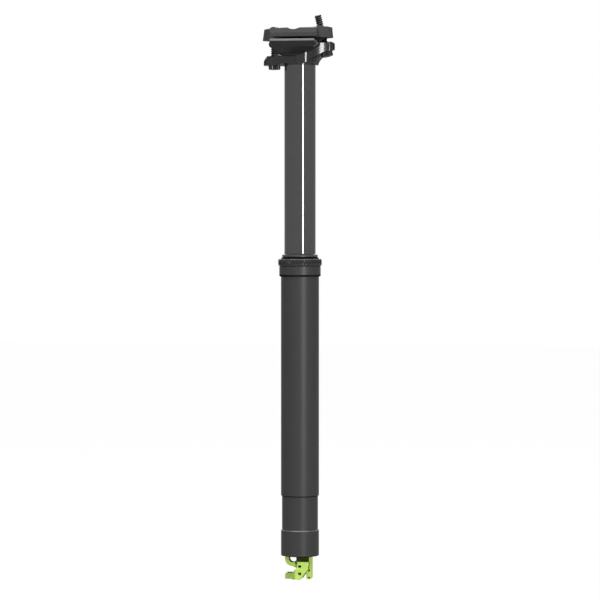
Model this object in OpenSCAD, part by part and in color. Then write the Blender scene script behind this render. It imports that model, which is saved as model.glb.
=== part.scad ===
// Dropper seatpost: a telescopic bicycle seatpost with a two-bolt saddle clamp on top,
// a gas spring inside and a cable actuator under its foot.
// The origin is on the post's axis at the underside of the collar, +Z is up and +X is the rear.
// The post is drawn at its full height.

/* [Outer tube] */
// Outside diameter of the tube that goes into the bicycle frame
post_d = 31.6; // [30.9:0.1:34.9]
// Length of the outer tube below the collar
tube_len = 232; // [228:1:300]
// Bore of the outer tube
tube_bore_d = 27.6; // [27.2:0.1:28]
// Thickness of the outer tube's floor
floor_t = 10; // [8:0.5:13]
// Diameter of the turned-down band near the foot
relief_d = 29.9; // [29.4:0.1:30.6]
// Height of the turned-down band
relief_h = 27.6; // [10:0.1:40]
// Height of the full-width foot under the turned-down band
foot_band_h = 21.9; // [16:0.1:40]
// Rounding of the foot's outer edge
foot_round = 0.8; // [0.4:0.1:3]

/* [Collar] */
// How far the collar's barrel stands out from the tube
collar_proud = 1.4; // [0.8:0.1:3]
// Height of the collar's barrel
barrel_h = 8.6; // [8:0.1:14]
// How far the knurled ring stands out from the barrel
knurl_proud = 1; // [0.4:0.1:2]
// Height of the knurled ring
knurl_h = 5.6; // [4.6:0.1:8]
// Height of the wiper seal above the collar
wiper_h = 3.6; // [3:0.1:6]
// Thickness of the wiper's lip
wiper_lip_t = 1.9; // [1:0.1:2.2]

/* [Sliding post] */
// Outside diameter of the stanchion
stanchion_d = 26; // [25:0.1:26.6]
// Wall of the stanchion
stanchion_wall = 1.6; // [1.4:0.1:2]
// Travel of the post
travel = 150; // [100:5:160]
// Gap between the wiper and the head when the post is down
down_gap = 7; // [2:0.5:20]
// Length of the stanchion below the collar when the post is up
foot_depth = 45; // [44:1:52]
// Length of the upper bushing
upper_bushing_h = 22; // [12:1:24]
// Length of the lower bushing
lower_bushing_h = 12; // [6:1:13]
// Length of an anti-rotation key
key_h = 12; // [6:1:13]
// Width of an anti-rotation key
key_w = 3; // [2:0.1:5]
// Number of anti-rotation keys
key_count = 3; // [2:1:4]

/* [Gas cartridge] */
// Outside diameter of the cartridge cylinder
cylinder_d = 18; // [17:0.5:21]
// Wall of the cartridge cylinder
cylinder_wall = 1.5; // [1:0.1:2]
// Diameter of the piston rod
rod_d = 8; // [7:0.5:9]
// Diameter of the valve pin in the rod
valve_pin_d = 2.8; // [2:0.1:3.2]
// Length of the piston
piston_h = 12; // [9:1:16]
// Length of the rod guide
guide_h = 12; // [9:1:16]

/* [Saddle head] */
// How far the head's neck stands out from the stanchion
neck_step = 0.8; // [0.3:0.1:1.5]
// Length of the head's spigot in the stanchion
spigot_len = 15; // [12:1:25]
// Radius of the front lug in plan
front_lug_r = 8.9; // [7.5:0.1:10]
// Radius of the rear lug in plan
rear_lug_r = 6.5; // [6.4:0.1:8]
// Half width of the head over the neck
head_half_w = 14.8; // [13.8:0.1:15]
// Radius of the round seat that the clamp rocks in
rocker_r = 35; // [34:0.5:36]
// Radius of the fillet under the rear arm
neck_fillet = 8.3; // [6:0.1:9]

/* [Rail clamp] */
// Diameter of a saddle rail
rail_d = 7; // [6.8:0.1:7.2]
// Distance between the saddle rails
rail_spacing = 44; // [43:0.5:46]
// Height of the rails above the stanchion's top
rail_h = 21.3; // [20.5:0.1:22]
// Length of the rail grooves
groove_len = 39; // [34:1:40]
// Overall width of the clamp
clamp_w = 54.6; // [53:0.2:58]

/* [Bolts] */
// Thread diameter of the clamp bolts
bolt_d = 6; // [5:0.1:6]
// Length of a clamp bolt under its head
bolt_len = 30.4; // [28.5:0.1:33]
// Diameter of a bolt's head
bolt_head_d = 9.8; // [8.5:0.1:10]
// Height of a bolt's head
bolt_head_h = 5; // [4:0.1:6]
// Distance of the front bolt in front of the post's axis
front_bolt_x = 21.5; // [21:0.1:22.5]
// Distance of the rear bolt's seat behind the post's axis
rear_seat_x = 22; // [21:0.1:22.5]
// Lean of the rear bolt towards the front, in degrees
rear_tilt = 13.4; // [11:0.1:15]
// Diameter of a barrel nut
nut_d = 9; // [8.4:0.1:9.6]
// Length of a barrel nut
nut_len = 11; // [9:0.5:11]

/* [Actuator] */
// Thickness of the actuator's side plates
plate_t = 3.3; // [2:0.1:4]
// Width of the lever
lever_w = 6.8; // [5:0.1:7.4]
// Diameter of the cross pins
cross_pin_d = 2; // [1.4:0.1:2.4]
// Inner radius of the cable hook
hook_inner_r = 3; // [2.4:0.1:3.2]
// Thickness of the cable hook
hook_t = 3.3; // [2:0.1:3.6]
// Diameter of the cable housing that the stop takes
housing_d = 5.2; // [4:0.1:5.4]

/* [Hidden] */
$fn = 96;
eps = 0.01;
// Clearances between pieces
run_clear = 0.05;
seal_clear = 0.03;
slide_clear = 0.1;
gap = 0.3;
// Radii
post_r = post_d / 2;
bore_r = tube_bore_d / 2;
stanchion_r = stanchion_d / 2;
stanchion_ir = stanchion_r - stanchion_wall;
barrel_r = post_r + collar_proud;
knurl_r = barrel_r + knurl_proud;
neck_r = stanchion_r + neck_step;
// The collar's screw thread on top of the tube
thread_depth = 0.3;
thread_r = post_r - thread_depth;
tube_top = barrel_h;
collar_groove_h = 0.4;
collar_groove_t = 0.5;
collar_chamfer = 0.6;
knurl_chamfer = 0.4;
collar_top = barrel_h + collar_groove_h + knurl_h;
inner_seal_h = 2;
wiper_root_h = 2.4;
wiper_root_step = 0.2;
wiper_root_r = thread_r - wiper_root_step;
wiper_lip_proud = 1.95;
wiper_neck_depth = 0.7;
wiper_flange = 0.65;
wiper_groove_h = 0.5;
wiper_bevel = 0.6;
wiper_top = collar_top + wiper_h;
// The head's shoulder on top of the stanchion
shoulder_z = wiper_top + travel + down_gap;
// The stanchion's foot, from its lower end upwards
foot_lip_h = 2;
bushing_seat_depth = 0.8;
bushing_seat_r = stanchion_r - bushing_seat_depth;
lower_bushing_z = -foot_depth + foot_lip_h;
key_z = lower_bushing_z + lower_bushing_h + foot_lip_h;
key_seat_depth = 1;
key_seat_r = stanchion_r - key_seat_depth;
key_groove_depth = 0.45;
key_groove_r = bore_r + key_groove_depth;
key_run_out = 3;
bushing_inset = 1;
upper_bushing_top = tube_top - bushing_inset;
// The gas cartridge, from its top downwards
cylinder_r = cylinder_d / 2;
cylinder_ir = cylinder_r - cylinder_wall;
rod_r = rod_d / 2;
valve_r = valve_pin_d / 2;
valve_bore_r = valve_r + slide_clear;
cylinder_top = shoulder_z - spigot_len;
cylinder_top_t = 5;
stud_r = 4;
stud_len = 9;
cylinder_inner_top = cylinder_top - cylinder_top_t;
bumper_t = 3;
top_out_t = 4;
piston_top = cylinder_inner_top - bumper_t - travel - gap;
piston_z = piston_top - piston_h;
piston_r = cylinder_ir - slide_clear;
piston_stud_step = 1;
piston_stud_r = rod_r - piston_stud_step;
piston_seal_h = 3;
piston_seal_t = 1.5;
guide_top = piston_z - top_out_t - gap;
guide_z = guide_top - guide_h;
guide_flange_h = 3;
rod_seal_h = 2.5;
rod_seal_t = 1.5;
// The rod's seat in the outer tube's floor
foot_z = -tube_len;
floor_top = foot_z + floor_t;
base_washer_t = 1;
rod_collar_t = 3;
rod_collar_w = 4;
rod_collar_r = rod_r + rod_collar_w;
boss_wall = 2.5;
boss_r = rod_r + boss_wall;
boss_floor_t = 2;
// The head, measured from its shoulder
arm_low = 0.8;
arm_drop = 0.4;
arm_step = 1.2;
arm_high = 7.3;
arm_nose_h = 4;
arm_nose_x = 4;
neck_h = 1.5;
neck_lip = 0.4;
fillet_drop = 1;
rocker_x = -7;
seat_h = 6.8;
rocker_h = seat_h + rocker_r;
head_corner_x = 5.5;
crease_x = 21.5;
crease_h = 10.9;
rear_seat_h = 11.5;
front_seat_h = 1.3;
lug_up = 6.3;
lug_down = 0.8;
lug_round = 3;
lug_offset = 0.7;
lug_nose = 1.7;
saddle_rise = 6;
under_arm_half_w = 7.5;
flank_r = 52;
waist_x = 2;
waist_turn = 26.4;
nose_turn = 8;
wide = 60;
// The clamp, measured from the head's shoulder
clamp_r = rocker_r - gap;
clamp_mid_x = -1.1;
groove_x0 = clamp_mid_x - groove_len / 2;
groove_x1 = clamp_mid_x + groove_len / 2;
rail_r = rail_d / 2;
rail_y = rail_spacing / 2;
clamp_y = clamp_w / 2;
rail_split = 1;
front_nut_h = 27.1;
rear_nut_dist = 17.2;
// The lower cradle: two troughs for the rails, and a rocker with a fork at each end
cradle_top = rail_h - rail_split;
trough_clear = 0.5;
trough_inner_y = head_half_w + trough_clear;
trough_h = 11.5;
trough_foot_w = 3;
trough_bevel_w = 0.9;
trough_bevel_h = 1.7;
trough_wall_h = 6.5;
trough_wall_in = 0.2;
trough_front_h = 6;
trough_rear_h = 4.4;
trough_rear_low = 9.5;
trough_rear_reach = 1.6;
trough_rear_cut = 2.4;
trough_slope = 6;
rocker_drop = 2.5;
fork_half_w = 9;
fork_nose_r = 3.2;
fork_nose_h = cradle_top - fork_nose_r - 0.2;
fork_len = 8;
fork_rear_x = 8;
fork_rear_len = 16;
fork_rear_low = 12;
fork_rear_rise = 1.9;
front_fork_room = 3.4;
rear_fork_room = 4.4;
// The upper cradle: two wings over the rails, a plate between them and a boss for each nut
wing_low = rail_h + rail_split;
wing_h = 7.4;
wing_inner_w = 4.6;
wing_foot_w = 4.2;
wing_foot_h = 2;
wing_inner_drop = 1.1;
wing_ridge_in = 3.1;
wing_edge_in = 0.9;
wing_edge_drop = 0.7;
wing_side_h = 2.9;
wing_side_in = 0.1;
wing_lip_in = 1.1;
wing_slope_x = 14;
wing_slope_h = 1;
plate_low = 2.6;
plate_h = 3.6;
plate_inset = 3;
plate_tuck = 4;
boss_top_r = 8.5;
boss_rear_top_r = 9;
boss_foot_r = 9.8;
boss_edge = 1.3;
boss_crown_w = 4.4;
front_boss_drop = 2;
rear_boss_rise = 0.1;
front_boss_cap = 3.7;
rear_boss_cap = 3.9;
notch_r = 9;
notch_depth = 1.7;
tray_len = 15;
tray_w = 22;
tray_floor = 4.4;
front_nut_swing = 1.6;
rear_nut_swing = 2.2;
// Bolts
bolt_r = bolt_d / 2;
bolt_head_r = bolt_head_d / 2;
bolt_clear = 0.4;
slot_clear = 0.2;
slot_half_w = bolt_r + bolt_clear + slot_clear;
washer_r = 4.2;
washer_len = 10;
head_pocket_clear = 0.8;
pocket_r = bolt_head_r + head_pocket_clear;
pocket_depth = 12;
pocket_rise = 0.8;
front_swing_room = 0.6;
rear_swing_room = 1.1;
nut_r = nut_d / 2;
bolt_tip = 0.8;
bolt_head_edge = 0.6;
bolt_key_r = 2.9;
// The actuator, with depths measured down from the tube's foot
block_h = 4.9;
block_x0 = -2.2;
block_x1 = 8.6;
slot_y = lever_w / 2 + gap;
plate_y = slot_y + plate_t;
pivot_x = 1.1;
pivot_d = 8.6;
lower_pin_d = 14.7;
nose_arm = 2;
nose_angle = 10;
nose_r = 2.1;
hub_r = 2.8;
hook_x = -5.8;
hook_d = 2.5;
hook_outer_r = hook_inner_r + hook_t;
hook_top_d = 0.8;
hook_block_gap = 0.4;
lever_web_gap = 0.5;
valve_foot_t = 1.4;
valve_foot_r = lever_w / 2;
nose_x = pivot_x + nose_arm * cos(nose_angle);
nose_d = pivot_d + nose_arm * sin(nose_angle);
valve_foot_d = nose_d - nose_r - slide_clear;
cross_pin_r = cross_pin_d / 2;
cross_pin_inset = 1.6;
pin_bevel = 0.5;
housing_r = housing_d / 2;
housing_x = -7.6;
housing_seat = 4;
stop_low_d = 19;
stop_high_d = 14.5;
stop_end_x = -11.4;
cable_r = 1;
plate_x0 = -6;
plate_top_x = -0.5;
plate_taper = 0.4;
plate_corner_d = 10.3;
plate_point = 0.9;
plate_neck_x = -1.4;
plate_neck_d = 9.5;
stop_lap = 1.4;
stop_side_in = 0.6;
stop_tray_in = 1;
block_side_in = 1.6;
valve_room_top = 3.4;
bridge_x1 = 0.1;
leg_x0 = 5.7;
leg_x1 = 10.2;
leg_half_w = 3.3;
leg_low_d = 19.6;
leg_round = 1.6;
leg_pin_x = 8.1;
leg_pin_rise = [7.4, 1.55];
leg_pin_r = 0.85;

// A tube from z0 to z1
module ring(outer, inner, z0, z1) {
    translate([0, 0, z0])
        difference() {
            cylinder(r = outer, h = z1 - z0);
            translate([0, 0, -eps]) cylinder(r = inner, h = z1 - z0 + 2 * eps);
        }
}

// A round bar across the post, centred on y = 0
module cross_bar(r, length) {
    rotate([90, 0, 0]) cylinder(r = r, h = length, center = true);
}

// An outline in the side view, x and height, made as wide as given
module side_plate(width) {
    rotate([90, 0, 0]) linear_extrude(height = width, center = true) children();
}

// An outline seen from the front, y and height, drawn out from x0 to x1
module along_x(x0, x1) {
    translate([x0, 0, 0]) rotate([90, 0, 90]) linear_extrude(height = x1 - x0) children();
}

// Both of a pair on the two sides of the post
module both_sides() {
    children();
    mirror([0, 1, 0]) children();
}

module at_shoulder() {
    translate([0, 0, shoulder_z]) children();
}

module at_foot() {
    translate([0, 0, foot_z]) children();
}

module key_places() {
    for (i = [0 : key_count - 1])
        rotate([0, 0, 90 + i * 360 / key_count]) children();
}

module outer_tube() {
    chamfer = post_r - relief_d / 2;
    relief_z = foot_z + foot_band_h;
    color([0.17, 0.17, 0.18])
        difference() {
            rotate_extrude() {
                polygon([[0, foot_z], [post_r - foot_round, foot_z], [post_r - foot_round, foot_z + foot_round],
                    [post_r, foot_z + foot_round], [post_r, relief_z - chamfer], [relief_d / 2, relief_z],
                    [relief_d / 2, relief_z + relief_h], [post_r, relief_z + relief_h + chamfer],
                    [post_r, 0], [thread_r, 0], [thread_r, tube_top], [0, tube_top]]);
                intersection() {
                    translate([post_r - foot_round, foot_z + foot_round]) circle(r = foot_round);
                    translate([0, foot_z]) square([post_r, foot_round]);
                }
            }
            translate([0, 0, floor_top]) cylinder(r = bore_r, h = tube_top - floor_top + 1);
            translate([0, 0, foot_z - 1]) cylinder(r = boss_r, h = floor_t + 2);
            key_places()
                intersection() {
                    translate([0, -key_w / 2 - slide_clear, key_z - travel - key_run_out])
                        cube([post_r, key_w + 2 * slide_clear, travel + key_h + key_run_out + 1]);
                    translate([0, 0, foot_z]) cylinder(r = key_groove_r, h = tube_len);
                }
        }
}

module collar() {
    knurl_z = barrel_h + collar_groove_h;
    color([0.16, 0.16, 0.17])
        difference() {
            rotate_extrude()
                polygon([[stanchion_r + gap, 0], [barrel_r - collar_chamfer, 0], [barrel_r, collar_chamfer],
                    [barrel_r, barrel_h], [barrel_r - collar_groove_t, barrel_h],
                    [barrel_r - collar_groove_t, knurl_z], [knurl_r - knurl_chamfer, knurl_z],
                    [knurl_r, knurl_z + knurl_chamfer], [knurl_r, collar_top - knurl_chamfer],
                    [knurl_r - knurl_chamfer, collar_top], [stanchion_r + gap, collar_top]]);
            translate([0, 0, -1]) cylinder(r = thread_r, h = tube_top + inner_seal_h + 1);
            translate([0, 0, collar_top - wiper_root_h]) cylinder(r = wiper_root_r, h = wiper_root_h + 1);
        }
}

module wiper_seal() {
    inner = stanchion_r + seal_clear;
    lip_z = wiper_top - wiper_lip_t;
    lip_r = stanchion_r + wiper_lip_proud;
    neck = lip_r - wiper_neck_depth;
    flange_r = lip_r + wiper_flange;
    flange_top = lip_z - wiper_groove_h;
    color([0.1, 0.1, 0.1])
        rotate_extrude()
            polygon([[inner, collar_top - wiper_root_h], [wiper_root_r, collar_top - wiper_root_h],
                [wiper_root_r, collar_top], [flange_r, collar_top], [flange_r, flange_top], [neck, flange_top],
                [neck, lip_z], [lip_r, lip_z], [lip_r, wiper_top - wiper_bevel],
                [lip_r - wiper_bevel, wiper_top], [inner, wiper_top]]);
}

module inner_seal() {
    color([0.08, 0.08, 0.08]) ring(thread_r, stanchion_r + seal_clear, tube_top, tube_top + inner_seal_h);
}

module upper_bushing() {
    color([0.45, 0.4, 0.3])
        ring(bore_r, stanchion_r + run_clear, upper_bushing_top - upper_bushing_h, upper_bushing_top);
}

module stanchion() {
    color([0.12, 0.12, 0.13])
        difference() {
            ring(stanchion_r, stanchion_ir, -foot_depth, shoulder_z);
            ring(stanchion_r + 1, bushing_seat_r, lower_bushing_z, lower_bushing_z + lower_bushing_h);
            key_places()
                translate([key_seat_r, -key_w / 2, key_z]) cube([stanchion_wall + 1, key_w, key_h]);
        }
}

module lower_bushing() {
    color([0.45, 0.4, 0.3])
        ring(bore_r - run_clear, bushing_seat_r, lower_bushing_z, lower_bushing_z + lower_bushing_h);
}

module anti_rotation_keys() {
    color([0.72, 0.58, 0.28])
        key_places()
            intersection() {
                translate([key_seat_r, -key_w / 2, key_z]) cube([post_r, key_w, key_h]);
                cylinder(r = key_groove_r - slide_clear, h = 2 * (foot_depth + key_h), center = true);
            }
}

// Outline of the head in plan: a round waist over the neck, drawn out to the front lug,
// with a hollow flank on each side between the waist and the rear lug
module head_plan() {
    lug_x = rear_seat_x + lug_offset;
    nose_touch = [-front_bolt_x, front_lug_r];
    waist_touch = [waist_x - head_half_w * sin(nose_turn), head_half_w * cos(nose_turn)];
    waist_end = [waist_x + head_half_w * sin(waist_turn), head_half_w * cos(waist_turn)];
    tail = [lug_x, rear_lug_r];
    flank_mid = (waist_end + tail) / 2;
    flank_half = norm(waist_end - tail) / 2;
    flank_reach = sqrt(flank_r * flank_r - flank_half * flank_half);
    flank_slope = atan2(waist_end[1] - tail[1], tail[0] - waist_end[0]);
    translate([-front_bolt_x, 0]) circle(r = front_lug_r);
    difference() {
        union() {
            polygon([[nose_touch[0], -nose_touch[1]], [waist_touch[0], -waist_touch[1]],
                [waist_end[0], -waist_end[1]], [tail[0], -tail[1]], tail, waist_end, waist_touch, nose_touch]);
            translate([waist_x, 0]) circle(r = head_half_w);
            translate([lug_x, 0]) circle(r = rear_lug_r);
        }
        for (side = [-1, 1])
            translate([flank_mid[0] + flank_reach * sin(flank_slope),
                side * (flank_mid[1] + flank_reach * cos(flank_slope))])
                circle(r = flank_r, $fn = 180);
    }
}

// Outline of the rear lug, with the bolt's seat at its origin and the bolt along +y
module lug_side() {
    lug_end = rear_lug_r + lug_nose;
    polygon([[-lug_end, -lug_down], [lug_end, -lug_down], [lug_end, lug_up - lug_round],
        [lug_end - lug_round, lug_up], [-rear_lug_r, lug_up]]);
    translate([lug_end - lug_round, lug_up - lug_round]) circle(r = lug_round);
}

// Outline of both arms from the side
module head_side() {
    front_end = -front_bolt_x - front_lug_r;
    neck_end = -neck_r - neck_lip;
    polygon([[front_end, -arm_drop], [neck_end - arm_step, -arm_drop], [neck_end, arm_low],
        [head_corner_x, arm_low], [head_corner_x, arm_high + saddle_rise],
        [rocker_x, arm_high], [front_end + arm_nose_x, arm_high], [front_end, arm_nose_h]]);
    polygon([[0, arm_low], [head_corner_x, arm_low], [crease_x, crease_h], [crease_x, rear_seat_h + lug_up],
        [crease_x - lug_round, rear_seat_h + lug_up], [0, arm_high + saddle_rise]]);
    translate([rear_seat_x, rear_seat_h]) rotate(rear_tilt) lug_side();
}

// Outline of the curved web between the neck and the rear arm
module under_arm_side() {
    slope = atan((crease_h - arm_low) / (crease_x - head_corner_x));
    middle = [neck_r + neck_lip + neck_fillet, -fillet_drop];
    touch = middle + neck_fillet * [-sin(slope), cos(slope)];
    reach = crease_x + lug_round - touch[0];
    difference() {
        polygon([[0, 0], [neck_r, 0], [middle[0], 0], touch, touch + reach * [1, tan(slope)],
            [crease_x, crease_h + lug_down], [0, arm_high]]);
        translate(middle) circle(r = neck_fillet);
    }
}

module front_bolt_place() {
    at_shoulder() translate([-front_bolt_x, 0, front_seat_h]) children();
}

module rear_bolt_place() {
    at_shoulder() translate([rear_seat_x, 0, rear_seat_h]) rotate([0, -rear_tilt, 0]) children();
}

// The room that a bolt's shank and its washer need in an arm
module bolt_room(swing) {
    cross_bar(washer_r + run_clear, washer_len + 2 * gap);
    translate([-bolt_r - bolt_clear - swing, -slot_half_w, -eps])
        cube([2 * (bolt_r + bolt_clear + swing), 2 * slot_half_w, pocket_depth]);
}

// The room that a bolt's head needs under an arm
module head_pocket() {
    translate([0, 0, -pocket_depth]) cylinder(r = pocket_r, h = pocket_depth + pocket_rise);
}

// Both arms, with the pockets for the bolts' heads
module head_arms() {
    difference() {
        at_shoulder()
            intersection() {
                side_plate(wide) head_side();
                translate([0, 0, -arm_step]) linear_extrude(height = wide) head_plan();
            }
        front_bolt_place() head_pocket();
        rear_bolt_place() head_pocket();
    }
}

// The curved web from the neck up to the rear arm, cut off before the rear bolt's head
module under_arm() {
    difference() {
        at_shoulder()
            intersection() {
                side_plate(2 * neck_r) under_arm_side();
                union() {
                    cylinder(r = neck_r + neck_lip, h = wide);
                    translate([0, -under_arm_half_w, 0]) cube([wide, 2 * under_arm_half_w, wide]);
                }
            }
        rear_bolt_place()
            translate([-pocket_r, -wide / 2, -2 * pocket_depth])
                cube([wide, wide, 2 * pocket_depth + pocket_rise]);
    }
}

module saddle_head() {
    color([0.1, 0.1, 0.11])
        difference() {
            union() {
                at_shoulder() translate([0, 0, -spigot_len]) cylinder(r = stanchion_ir, h = spigot_len + 1);
                at_shoulder() cylinder(r = neck_r, h = neck_h);
                head_arms();
                under_arm();
            }
            at_shoulder() translate([rocker_x, 0, rocker_h]) cross_bar(rocker_r, wide);
            front_bolt_place() bolt_room(front_swing_room);
            rear_bolt_place() bolt_room(rear_swing_room);
            translate([0, 0, cylinder_top - eps]) cylinder(r = stud_r, h = stud_len + 1);
        }
}

// Rail grooves through a cradle
module rail_grooves() {
    both_sides()
        translate([0, rail_y, rail_h]) rotate([0, 90, 0]) cylinder(r = rail_r, h = 2 * wide, center = true);
}

// Outline of the lower cradle's troughs, seen from the front
module trough_section() {
    polygon([[trough_inner_y, cradle_top], [clamp_y - trough_bevel_w, cradle_top],
        [clamp_y, cradle_top - trough_bevel_h], [clamp_y - trough_wall_in, cradle_top - trough_wall_h],
        [trough_inner_y + trough_foot_w, cradle_top - trough_h], [trough_inner_y, cradle_top - trough_h]]);
}

// Outline of the lower cradle's troughs from the side
module trough_side() {
    polygon([[groove_x0, cradle_top], [groove_x1 - trough_rear_cut, cradle_top],
        [groove_x1 + trough_rear_reach, cradle_top - trough_rear_h],
        [groove_x1 - trough_slope, cradle_top - trough_rear_low],
        [groove_x0 + trough_slope, cradle_top - trough_h], [groove_x0, cradle_top - trough_front_h]]);
}

module lower_cradle() {
    color([0.15, 0.15, 0.16])
        at_shoulder()
            difference() {
                union() {
                    both_sides()
                        intersection() {
                            along_x(groove_x0, groove_x1 + trough_rear_reach) trough_section();
                            side_plate(wide) trough_side();
                        }
                    side_plate(2 * (trough_inner_y + eps))
                        intersection() {
                            translate([rocker_x, rocker_h]) circle(r = clamp_r, $fn = 180);
                            polygon([[groove_x0, 0], [groove_x1 + trough_rear_reach, 0],
                                [groove_x1 - trough_rear_cut, cradle_top - rocker_drop],
                                [groove_x0, cradle_top - rocker_drop]]);
                        }
                    side_plate(2 * fork_half_w)
                        intersection() {
                            translate([rocker_x, rocker_h]) circle(r = clamp_r, $fn = 180);
                            union() {
                                translate([-front_bolt_x, fork_nose_h]) circle(r = fork_nose_r);
                                translate([-front_bolt_x, fork_nose_h - fork_nose_r])
                                    square([fork_len, 2 * fork_nose_r]);
                                translate([fork_rear_x, fork_rear_low])
                                    square([fork_rear_len, cradle_top + fork_rear_rise - fork_rear_low]);
                            }
                        }
                }
                rail_grooves();
                translate([-wide, -slot_half_w, 0])
                    cube([wide - front_bolt_x + bolt_r + front_fork_room, 2 * slot_half_w, wide]);
                translate([rear_seat_x - bolt_r - rear_fork_room, -slot_half_w, 0])
                    cube([wide, 2 * slot_half_w, wide]);
            }
}

// Outline of the upper cradle's wings, seen from the front
module wing_section() {
    high = wing_low + wing_h;
    polygon([[rail_y - wing_inner_w, wing_low + wing_foot_h], [rail_y - wing_inner_w, high - wing_inner_drop],
        [clamp_y - wing_ridge_in, high], [clamp_y - wing_edge_in, high - wing_edge_drop],
        [clamp_y - wing_side_in, wing_low + wing_side_h], [clamp_y - wing_lip_in, wing_low],
        [rail_y - wing_foot_w, wing_low]]);
}

// Outline of the wings from the side, with a top that slopes down at the front
module wing_side() {
    high = wing_low + wing_h;
    slope = wing_slope_h / wing_slope_x;
    polygon([[groove_x0 - 1, wing_low - 1], [groove_x1 + 1, wing_low - 1], [groove_x1 + 1, high + 1],
        [groove_x0 + wing_slope_x + 1 / slope, high + 1], [groove_x0 - 1, high - wing_slope_h - slope]]);
}

// A round boss over a barrel nut, with a sloping crown
module nut_boss(x, z0, z1, top_r) {
    translate([x, 0, z0]) cylinder(r1 = boss_foot_r, r2 = top_r, h = z1 - z0 - boss_edge);
    translate([x, 0, z1 - boss_edge - eps]) cylinder(r1 = top_r, r2 = top_r - boss_crown_w, h = boss_edge);
}

module upper_cradle() {
    rear_nut_x = rear_seat_x - rear_nut_dist * sin(rear_tilt);
    rear_nut_h = rear_seat_h + rear_nut_dist * cos(rear_tilt);
    color([0.13, 0.13, 0.14])
        difference() {
            at_shoulder()
                difference() {
                    union() {
                        both_sides()
                            intersection() {
                                along_x(groove_x0, groove_x1) wing_section();
                                side_plate(wide) wing_side();
                            }
                        translate([groove_x0 + plate_inset, plate_tuck - rail_y, wing_low + plate_low])
                            cube([groove_len - 2 * plate_inset, 2 * (rail_y - plate_tuck), plate_h]);
                        nut_boss(-front_bolt_x, wing_low - front_boss_drop, front_nut_h + front_boss_cap,
                            boss_top_r);
                        nut_boss(rear_nut_x, wing_low + rear_boss_rise, rear_nut_h + rear_boss_cap,
                            boss_rear_top_r);
                    }
                    rail_grooves();
                    translate([clamp_mid_x, 0, wing_low + wing_h + notch_r - notch_depth])
                        cross_bar(notch_r, wide);
                    translate([clamp_mid_x - tray_len / 2, -tray_w / 2, wing_low + tray_floor])
                        cube([tray_len, tray_w, wing_h]);
                }
            front_bolt_place() nut_room(front_nut_h - front_seat_h, front_nut_swing);
            rear_bolt_place() nut_room(rear_nut_dist, rear_nut_swing);
        }
}

// The room that a barrel nut and its bolt need in the upper cradle, with the nut put in from above
module nut_room(height, swing) {
    half = bolt_r + bolt_clear + swing;
    room_r = nut_r + run_clear;
    room_len = nut_len + 2 * gap;
    translate([0, 0, height]) cross_bar(room_r, room_len);
    translate([-room_r, -room_len / 2, height]) cube([2 * room_r, room_len, wide]);
    translate([-half, -slot_half_w, 0]) cube([2 * half, 2 * slot_half_w, wide]);
}

// A socket-head bolt with its seat at the origin
module clamp_bolt() {
    color([0.2, 0.2, 0.2])
        difference() {
            union() {
                translate([0, 0, bolt_head_edge - bolt_head_h])
                    cylinder(r = bolt_head_r, h = bolt_head_h - bolt_head_edge);
                translate([0, 0, -bolt_head_h])
                    cylinder(r1 = bolt_head_r - bolt_head_edge, r2 = bolt_head_r, h = bolt_head_edge);
                translate([0, 0, -eps]) cylinder(r = bolt_r, h = bolt_len - bolt_tip);
                translate([0, 0, bolt_len - bolt_tip - 2 * eps])
                    cylinder(r1 = bolt_r, r2 = bolt_r - bolt_tip, h = bolt_tip);
            }
            translate([0, 0, -bolt_head_h - 1]) cylinder(r = bolt_key_r, h = 1 + bolt_head_h / 2, $fn = 6);
        }
}

// A half-round washer between a bolt's head and its arm
module bolt_washer() {
    color([0.3, 0.3, 0.31])
        difference() {
            cross_bar(washer_r, washer_len);
            translate([-wide / 2, -wide / 2, -wide]) cube(wide);
            translate([0, 0, -1]) cylinder(r = bolt_r + slide_clear, h = washer_r + 2);
        }
}

// A barrel nut, a given height above the bolt's seat
module barrel_nut(height) {
    color([0.5, 0.5, 0.52])
        translate([0, 0, height])
            difference() {
                cross_bar(nut_r, nut_len);
                cylinder(r = bolt_r + bolt_clear, h = nut_d + 2, center = true);
            }
}

module front_bolt() {
    front_bolt_place() clamp_bolt();
}

module rear_bolt() {
    rear_bolt_place() clamp_bolt();
}

module front_washer() {
    front_bolt_place() bolt_washer();
}

module rear_washer() {
    rear_bolt_place() bolt_washer();
}

module front_barrel_nut() {
    front_bolt_place() barrel_nut(front_nut_h - front_seat_h);
}

module rear_barrel_nut() {
    rear_bolt_place() barrel_nut(rear_nut_dist);
}

module cartridge_cylinder() {
    color([0.7, 0.7, 0.72]) {
        difference() {
            translate([0, 0, guide_z + guide_flange_h])
                cylinder(r = cylinder_r, h = cylinder_top - guide_z - guide_flange_h);
            translate([0, 0, guide_z])
                cylinder(r = cylinder_ir, h = cylinder_inner_top - guide_z);
        }
        translate([0, 0, cylinder_top - eps]) cylinder(r = stud_r, h = stud_len + eps);
    }
}

module cartridge_guide() {
    seal_z = guide_z + guide_h / 2;
    color([0.6, 0.6, 0.62])
        difference() {
            union() {
                translate([0, 0, guide_z]) cylinder(r = cylinder_ir, h = guide_h);
                translate([0, 0, guide_z]) cylinder(r = cylinder_r, h = guide_flange_h);
            }
            translate([0, 0, guide_z - 1]) cylinder(r = rod_r + run_clear, h = guide_h + 2);
            translate([0, 0, seal_z]) cylinder(r = rod_r + rod_seal_t, h = rod_seal_h);
        }
}

module rod_seal() {
    seal_z = guide_z + guide_h / 2;
    color([0.08, 0.08, 0.08]) ring(rod_r + rod_seal_t, rod_r + seal_clear, seal_z, seal_z + rod_seal_h);
}

module bottom_out_bumper() {
    color([0.08, 0.08, 0.08])
        translate([0, 0, cylinder_inner_top - bumper_t]) cylinder(r = cylinder_ir - 2 * gap, h = bumper_t);
}

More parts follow.
